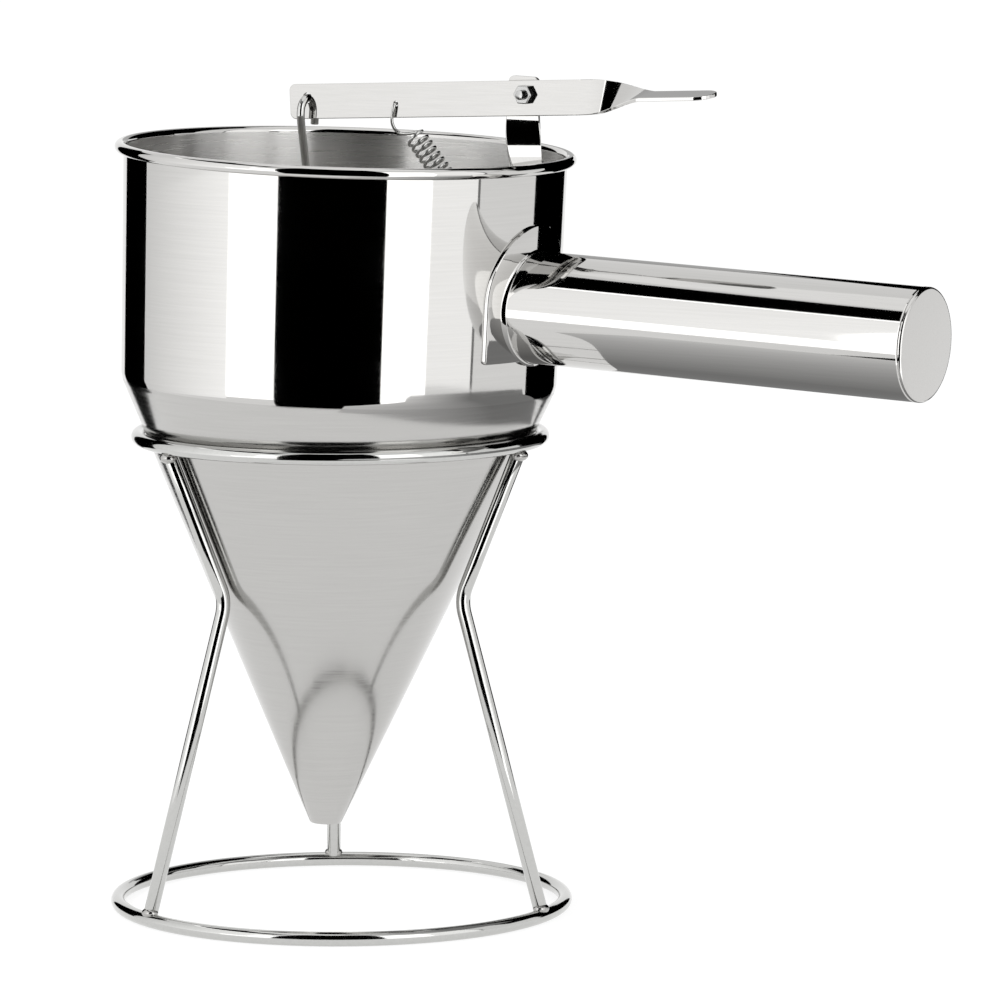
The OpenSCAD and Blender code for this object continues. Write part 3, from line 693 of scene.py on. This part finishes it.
class DISPENSER_OT_stand(bpy.types.Operator):
    """Bends the two rings and the three legs, and adds their weld beads"""
    bl_idname = "dispenser.stand"
    bl_label = "Stand"

    def execute(self, context):
        stand = sizes("stand")
        r = stand.wire_d / 2
        seat_z = stand.height - r
        for name, node, radius, z in (("base_ring_wire", "base_ring", stand.base_d / 2, r),
                                      ("seat_ring_wire", "seat_ring", stand.seat_d / 2, seat_z)):
            bm = spun(arc((radius, z), r, 0, 360, 28)[:-1], 200)
            finished(name, bm, Matrix.Identity(4), "stand", node, ("wire",), 60)
        foot = Vector((stand.base_d / 2, 0, r))
        bend = Vector((stand.bend_in, 0, stand.bend_z))
        top = Vector((stand.top_in, 0, seat_z - 2 * stand.wire_d / 3))
        low, high = (bend - foot).normalized(), (top - bend).normalized()
        # The leg's ends stop inside the weld beads: place and radius of the bead at the foot and at the top
        path = round_corners([foot + low * r * 0.9, bend, top + high * r * 0.2], stand.bend_reach, 14)
        beads = ((foot + Vector((-r * 0.15, 0, r)), r * 1.12),
                 (Vector((stand.seat_d / 2 - r * 0.25, 0, seat_z - r * 1.45)), r * 1.15))
        for node, turn in (("leg_handle_side", 0), ("leg_back", 120), ("leg_front", -120)):
            bm = wire(path, r, 28)
            count = len(bm.faces)
            for middle, radius in beads:
                bead = bmesh.ops.create_icosphere(bm, subdivisions=4, radius=radius, matrix=shift(*middle))
                bmesh.ops.scale(bm, vec=(1.0, 1.15, 0.72), verts=bead["verts"], space=shift(*-middle))
            bm.faces.ensure_lookup_table()
            for face in bm.faces[count:]:
                face.material_index = 1
            finished(node + "_wire", bm, turned(math.radians(turn) + stand.turn, "Z"), "stand", node,
                     ("wire", "weld"), 60)
        return {"FINISHED"}


class DISPENSER_OT_lever(bpy.types.Operator):
    """Makes the lever: a flat bar with nearly a quarter twist, a thumb tab and two holes"""
    bl_idname = "dispenser.lever"
    bl_label = "Lever"

    def execute(self, context):
        lever, spring = sizes("lever"), sizes("spring")
        start, steps, smooth, rounding = -lever.rod_arm - lever.margin, 40, 0.6, 0.00022
        end = lever.twist_start + lever.twist_len + lever.tab_len
        stations = [start, 0, lever.twist_start]
        stations += [lever.twist_start + lever.twist_len * i / steps for i in range(1, steps + 1)]
        stations.append(end)
        flat = Matrix(((0, 0, 1), (0, 1, 0), (1, 0, 0))).to_4x4()
        places = []
        for x in stations:
            # The twist eases in and out: a smooth turn mixed with an even one
            even = min(1, max(0, (x - lever.twist_start) / lever.twist_len))
            share = even * even * (3 - 2 * even) * smooth + even * (1 - smooth)
            places.append(shift(x, 0, -lever.hole_rise) @ turned(-share * lever.twist_turn, "X") @ flat)
        bm = flat_strip(places, lever.height, lever.thickness)
        bevel(bm, edges_near(bm, lambda e, m: m.x < start + TOUCH and across(e, 2) < TOUCH), lever.corner, 6)
        tab_ends = edges_near(bm, lambda e, m: m.x > end - TOUCH and e.calc_length() < 1.01 * lever.thickness)
        tab_round = lever.height * 0.492
        bevel(bm, tab_ends, tab_round, 14)
        ease_edges(bm, rounding)
        piece = finished("lever_bar", bm, lever_frame(), "lever_arm", "lever",
                         ("strip",), 20)
        drill(piece, lever_frame(), [(-lever.rod_arm, 0, lever.rod_hole),
                                     (-lever.spring_arm, -spring.hole_drop, spring.hole_r)])
        return {"FINISHED"}


class DISPENSER_OT_bracket(bpy.types.Operator):
    """Makes the strip behind the lever, twists it down to the wall and turns its foot in"""
    bl_idname = "dispenser.bracket"
    bl_label = "Pivot bracket"

    def execute(self, context):
        strip = sizes("bracket")
        steps, foot_steps, lap, rounding = 40, 8, 0.0002, 0.0002
        places = [shift(-strip.shift, strip.behind, z) for z in (strip.rise, lap - strip.twist_start)]
        for k in [i / steps for i in range(steps + 1)]:
            out = -strip.shift + (strip.leg_shift + strip.shift) * k * k
            down = -strip.twist_start - (strip.twist_end - strip.twist_start) * k
            places.append(shift(out, strip.behind * (1 - k), down) @ turned(k * math.pi / 2, "Z"))
        flat = turned(math.pi / 2, "Z")
        bend_r, foot_z = strip.foot_bend, -strip.foot_drop - strip.thickness / 2
        places.append(shift(strip.leg_shift, 0, foot_z + bend_r + 2 * lap) @ flat)
        for a in [math.pi / 2 * i / foot_steps for i in range(foot_steps + 1)]:
            places.append(shift(strip.leg_shift - bend_r + bend_r * math.cos(a), 0,
                                foot_z + bend_r - bend_r * math.sin(a)) @ turned(a, "Y") @ flat)
        end = strip.leg_shift + strip.thickness / 2 - strip.foot_reach
        places.append(shift(end, 0, foot_z) @ ALONG_X @ flat)
        bm = flat_strip(places, strip.width, strip.thickness)
        top_ends = edges_near(bm, lambda e, m: m.z > strip.rise - TOUCH and across(e, 0) < TOUCH)
        bevel(bm, top_ends, strip.corner, 6)
        foot_ends = edges_near(bm, lambda e, m: m.x < end + TOUCH and m.z < -strip.twist_end
                               and abs(m.y) > strip.width * 0.4)
        bevel(bm, foot_ends, strip.corner, 6)
        ease_edges(bm, rounding)
        piece = finished("pivot_bracket_strip", bm, pivot_frame(), "hopper_unit", "pivot_bracket",
                         ("strip",), 20)
        upright = pivot_frame() @ shift(end + strip.foot_hole, 0, foot_z) @ turned(math.pi / 2, "X")
        drill(piece, upright, [(0, 0, sizes("spring").hole_r)])
        return {"FINISHED"}


class DISPENSER_OT_fasteners(bpy.types.Operator):
    """Makes the pivot's bolt with its pan head, and its nut"""
    bl_idname = "dispenser.fasteners"
    bl_label = "Bolt and nut"

    def execute(self, context):
        strip = sizes("bracket")
        seat, back = strip.nut_seat, -strip.behind - strip.thickness / 2
        top = seat + strip.nut_t
        front = top + strip.bolt_end
        r, pitch = strip.bolt_d / 2, strip.pitch
        frame_in = pivot_frame() @ turned(math.pi / 2, "X")
        thread_depth, end_chamfer = 0.00028, 0.0004
        # Pan head at the back, plain shank, then the thread that shows beyond the nut
        pan = ((0, 1), (0.6, 1), (0.85, 0.85), (1, 0.45), (1, 0))
        profile = [(x * strip.head_d / 2, back - z * strip.head_h) for x, z in pan] + [(r, back), (r, top)]
        z = top
        while z < front - pitch:
            profile += [(r, z + 0.15 * pitch), (r - thread_depth, z + 0.5 * pitch), (r, z + 0.85 * pitch)]
            z += pitch
        profile += [(r - end_chamfer, front), (0, front)]
        bm = spun(profile, 64, closed=False)
        finished("pivot_bolt_cut", bm, frame_in, "hopper_unit", "pivot_bolt", ("small",), 35)
        corner = strip.nut_af / 2 / math.cos(math.pi / 6)
        margin, turned_down, rounding = 0.00035, 0.0004, 0.00015
        bm = disc(corner, 6, shift(z=seat) @ turned(math.pi / 6, "Z"))
        grown = bmesh.ops.extrude_face_region(bm, geom=bm.faces[:])
        bmesh.ops.translate(bm, vec=(0, 0, strip.nut_t), verts=only(BMVert, grown))
        bmesh.ops.recalc_face_normals(bm, faces=bm.faces)
        outer_face = [f for f in bm.faces if f.calc_center_median().z > top - TOUCH]
        bmesh.ops.inset_region(bm, faces=outer_face, thickness=margin, depth=0.0)
        # The nut's corners are turned down around its outer face
        for v in bm.verts:
            if v.co.z > top - TOUCH and math.hypot(v.co.x, v.co.y) > corner - TOUCH:
                v.co.z -= turned_down
        bevel(bm, edges_near(bm, lambda e, m: across(e, 2) > strip.nut_t / 3, 30), rounding, 2)
        finished("pivot_nut_hex", bm, frame_in, "hopper_unit", "pivot_nut", ("small",), 20)
        return {"FINISHED"}


class DISPENSER_OT_rod(bpy.types.Operator):
    """Bends the stopper's rod with the hook that hangs in the lever"""
    bl_idname = "dispenser.rod"
    bl_label = "Rod"

    def execute(self, context):
        rod = sizes("rod")
        frame_in = hopper_frame()
        eye = frame_in.inverted() @ joint_place("rod_hang")
        arch_z = eye.z - rod.hook_r
        neck_top = arch_z - rod.hook_leg / 2
        straight = [(0, 0, rod.socket_z), (eye.x, 0, neck_top - rod.neck), (eye.x, -rod.hook_r, neck_top),
                    (eye.x, -rod.hook_r, arch_z)]
        bend_reach = 0.004
        path = round_corners(straight, bend_reach, 8)
        path += [Vector((eye.x, -y, z)) for y, z in arc((0, arch_z), rod.hook_r, 0, 180, 28)[1:]]
        path.append(Vector((eye.x, rod.hook_r, arch_z - rod.hook_leg)))
        bm = wire(path, rod.wire_d / 2, 24)
        finished("plunger_rod_wire", bm, frame_in, "rod", "plunger_rod", ("wire",), 60)
        return {"FINISHED"}


class DISPENSER_OT_spring(bpy.types.Operator):
    """Winds the return spring with its hook in the lever and its loop in the foot"""
    bl_idname = "dispenser.spring"
    bl_label = "Return spring"

    def execute(self, context):
        spring, lever = sizes("spring"), sizes("lever")
        to_pivot = pivot_frame()
        eye = turned(-lever.rise, "Y") @ Vector((-lever.spring_arm, 0, -spring.hole_drop))
        loop = Vector(spring.loop)
        # The coils point at a place below the eye, and the spring starts to give below that
        aim, give, hook_bend, tail_bend = 0.002, 0.004, 0.0016, 0.001
        start = eye - Vector((0, 0, aim))
        pull = (loop - start).normalized()
        up = Vector((-pull.z, 0, pull.x))
        side = pull.cross(up)
        coil_start = start + pull * spring.hook
        coil_len = (loop - start).length - spring.hook - spring.tail - spring.loop_r
        coil_end = coil_start + pull * coil_len
        r = (spring.coil_d - spring.wire_d) / 2
        # The hook goes through the lever's hole and bends down beside the bar: shares of the hook's length
        aside = lever.thickness / 2 + spring.wire_d
        hook = [eye + Vector((0, aside + spring.wire_d / 2, 0)), eye - Vector((0, aside, 0))]
        for i, (x, z) in enumerate(((-0.07, -0.52), (0.04, -0.77), (0.24, -0.86), (0.57, -0.82))):
            hook.append(eye + Vector((x * spring.hook, -aside * (1 - i / 4), z * spring.hook)))
        hook.append(coil_start + up * r)
        path = round_corners(hook, hook_bend, 6)
        turn_steps, loop_steps = 28, 30
        total = spring.coils * turn_steps
        for i in range(1, total + 1):
            a = 2 * math.pi * i / turn_steps
            around = (up * math.cos(a) + side * math.sin(a)) * r
            path.append(coil_start + pull * coil_len * i / total + around)
        tail = [path[-1], coil_end + pull * 1.5 * spring.wire_d, loop - pull * spring.loop_r]
        path += round_corners(tail, tail_bend, 5)[1:]
        for i in range(1, loop_steps + 1):
            a = math.radians(330) * i / loop_steps
            path.append(loop - (pull * math.cos(a) + up * math.sin(a)) * spring.loop_r)
        bm = wire(path, spring.wire_d / 2, 12)
        piece = finished("return_spring_wound", bm, to_pivot, None, "return_spring",
                         ("spring",), 60)
        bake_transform(piece)
        return {"FINISHED"}


class DISPENSER_OT_hidden(bpy.types.Operator):
    """Gives the stopper and the washer their turned and stamped finish"""
    bl_idname = "dispenser.hidden"
    bl_label = "Stopper and washer"

    def execute(self, context):
        for node in ("stopper", "pivot_washer"):
            mesh = frame["nodes"][node].data
            mesh.materials.clear()
            mesh.materials.append(finishes()["small"])
        return {"FINISHED"}


# ---- Studio ----

def seen_or_mirrored(tree):
    """1 for rays from the camera, off metal or through glass, 0 for the rays that light the object."""
    path = add(tree, "LightPath").outputs
    seen = add(tree, "Math", None, {0: path["Is Camera Ray"], 1: path["Is Glossy Ray"]}, operation="MAXIMUM")
    return add(tree, "Math", None, {0: seen, 1: path["Is Transmission Ray"]}, operation="MAXIMUM")


def glowing(tree, kind, level, links=None):
    """White light of a level, as an Emission or a Background."""
    return add(tree, kind, {"Color": (1, 1, 1, 1), "Strength": level}, links)


def glowing_paper(name, level, fade=None):
    """Paper that glows evenly, or fades to another level over the attribute along."""
    made, tree = node_material(name)
    links = None
    if fade is not None:
        along = add(tree, "Attribute", attribute_name="along").outputs["Fac"]
        links = {"Strength": ranged(tree, along, level, fade)}
    add(tree, "OutputMaterial", None, {"Surface": glowing(tree, "Emission", level, links)})
    return made


class DISPENSER_OT_stage(bpy.types.Operator):
    """Sets the floor, the studio's cards, the lamps, the world and the camera"""
    bl_idname = "dispenser.stage"
    bl_label = "Studio"

    def execute(self, context):
        studio = sizes("studio")
        self.floor(studio)
        self.cards(studio)
        self.lamps(context, studio)
        self.world(context)
        self.camera(context, studio)
        return {"FINISHED"}

    def floor(self, studio):
        made, tree = node_material("painted_studio_floor")
        spot = add(tree, "TexCoord").outputs["Object"]
        grain = add(tree, "TexNoise", {"Scale": 3.0, "Detail": 3.0}, {"Vector": spot})
        tone = ranged(tree, grain, 0.985, 1.0)
        paint = add(tree, "VectorMath", {0: sizes("finish").floor[:3]}, {"Scale": tone}, operation="SCALE")
        matt = add(tree, "BsdfDiffuse", None, {"Color": paint})
        # Seen by the camera and the metal, the floor is white less a part of the object's shadow
        thin = add(tree, "BsdfDiffuse", {"Color": (0.30, 0.30, 0.30, 1)})
        white = add(tree, "AddShader", None, {0: glowing(tree, "Emission", 0.80), 1: thin})
        mix = add(tree, "MixShader", None, {0: seen_or_mirrored(tree), 1: matt, 2: white})
        add(tree, "OutputMaterial", None, {"Surface": mix})
        linked("studio_floor", disc(studio.floor_r, 96), [made])

    def cards(self, studio):
        for name, start, end, radius, bottom, top, floor_from, *levels in CARDS:
            parts = [(name, radius, bottom, top)]
            if floor_from:
                parts.append((name + "_floor", floor_from, LYING, LYING))
            for part, near, low_z, high_z in parts:
                bm = bmesh.new()
                turn = turned(studio.facing + math.radians(start), "Z")
                edge = bm.edges.new([bm.verts.new(turn @ Vector((x, 0, z))) for x, z in
                                     ((near, low_z), (radius, high_z))])
                bmesh.ops.spin(bm, geom=[*edge.verts, edge], cent=(0, 0, 0), axis=(0, 0, 1),
                               angle=math.radians(end - start), steps=max(2, int((end - start) / 2)),
                               use_merge=False)

                def along(spot):
                    degrees = math.degrees(math.atan2(spot.y, spot.x) - studio.facing)
                    return ((degrees - start + 180) % 360 - 180) / (end - start)

                self.card(part, bm, along, *levels)
        # A dark card for the shade under the handle, which only the metal sees: painted shade
        self.painted_shade_under_handle()
        # The white ceiling over the hopper
        radius, height, level = 0.85, 2.10, 1.2
        self.card("ceiling", disc(radius, 48, shift(z=height)), lambda spot: 0.0, level)

    def painted_shade_under_handle(self):
        """A dark card right under the handle, which fades towards the camera: a fan beside the hopper. It is
        painted shade: it stands for the shaded floor under the handle, as the metal sees it.
        """
        near, far, side, height = 0.098, 0.225, 0.10, 0.14
        from_turn, span, centre_x = -50, 85, -0.02
        fade_from, fade_len, dark, pale = 0.005, 0.105, 0.26, 0.85
        bm = bmesh.new()
        bmesh.ops.create_grid(bm, x_segments=16, y_segments=48, size=0.5)
        for v in bm.verts:
            turn = math.radians(from_turn + span * (v.co.y + 0.5))
            reach = min(far, side / max(0.01, -math.sin(turn)))
            radius = near + (reach - near) * (v.co.x + 0.5)
            v.co = (radius * math.cos(turn) + centre_x, radius * math.sin(turn), height)
        # The glow runs from dark to pale: painted shade in the metal's reflection
        self.card("painted_shade_under_handle", bm, lambda spot: (fade_from - spot.y) / fade_len, dark, pale)

    @staticmethod
    def card(name, bm, along, *levels):
        """A card that only the metal sees. along gives each point its share of the fade."""
        name = "card_" + name
        card = linked(name, bm, [glowing_paper(name + "_paper", *levels)])
        share = card.data.attributes.new("along", "FLOAT", "POINT")
        for i, v in enumerate(card.data.vertices):
            share.data[i].value = max(0.0, min(1.0, along(v.co)))
        card.visible_camera = card.visible_diffuse = card.visible_shadow = card.visible_transmission = False

    def lamps(self, context, studio):
        for name, turn, distance, height, size, power in LAMPS:
            light = bpy.data.lights.new(name, "AREA")
            light.size = size
            light.energy = power
            lamp = bpy.data.objects.new(name, light)
            a = studio.facing + math.radians(turn)
            lamp.location = (distance * math.cos(a), distance * math.sin(a), height)
            aim = Vector((0, 0, LAMP_AIM)) - lamp.location
            lamp.rotation_euler = aim.to_track_quat("-Z", "Y").to_euler()
            lamp.visible_glossy = lamp.visible_camera = False
            context.scene.collection.objects.link(lamp)

    def world(self, context):
        """Lights the object softly, and shows white behind it and in its metal."""
        world = bpy.data.worlds.new("white_room")
        context.scene.world = world
        world.use_nodes = True
        tree = world.node_tree
        tree.nodes.clear()
        room, shown = glowing(tree, "Background", 0.75), glowing(tree, "Background", 1.0)
        mix = add(tree, "MixShader", None, {0: seen_or_mirrored(tree), 1: room, 2: shown})
        add(tree, "OutputWorld", None, {"Surface": mix})

    def camera(self, context, studio):
        data = bpy.data.cameras.new("product_camera")
        data.sensor_width = 36
        data.lens = studio.lens
        data.clip_end = 100
        camera = bpy.data.objects.new("product_camera", data)
        camera.location = studio.camera
        camera.rotation_euler = Vector(studio.look).to_track_quat("-Z", "Y").to_euler()
        context.scene.collection.objects.link(camera)
        context.scene.camera = camera
        context.scene.view_settings.view_transform = "Standard"


class DISPENSER_PT_panel(bpy.types.Panel):
    """Lists the dispenser's pieces and their sizes"""
    bl_idname = "DISPENSER_PT_panel"
    bl_label = "Batter dispenser"
    bl_space_type = "VIEW_3D"
    bl_region_type = "UI"
    bl_category = "Dispenser"

    def draw(self, context):
        for operator in PIECES:
            self.layout.operator(operator.bl_idname)
        for name, group in GROUPS.items():
            box = self.layout.box()
            box.label(text=name.capitalize())
            for key in group.__annotations__:
                box.prop(sizes(name), key)


PIECES = (
    DISPENSER_OT_stage, DISPENSER_OT_stand, DISPENSER_OT_hopper, DISPENSER_OT_handle, DISPENSER_OT_bracket,
    DISPENSER_OT_fasteners, DISPENSER_OT_lever, DISPENSER_OT_rod, DISPENSER_OT_spring, DISPENSER_OT_hidden,
)
CLASSES = (*GROUPS.values(), *PIECES, DISPENSER_PT_panel)


def register():
    for each in CLASSES:
        bpy.utils.register_class(each)
    for name, group in GROUPS.items():
        setattr(bpy.types.Scene, "dispenser_" + name, PointerProperty(type=group))


def unregister():
    for name in GROUPS:
        delattr(bpy.types.Scene, "dispenser_" + name)
    for each in reversed(CLASSES):
        bpy.utils.unregister_class(each)


def main():
    register()
    for operator in PIECES:
        section, name = operator.bl_idname.split(".")
        getattr(getattr(bpy.ops, section), name)()


if __name__ == "__main__":
    main()
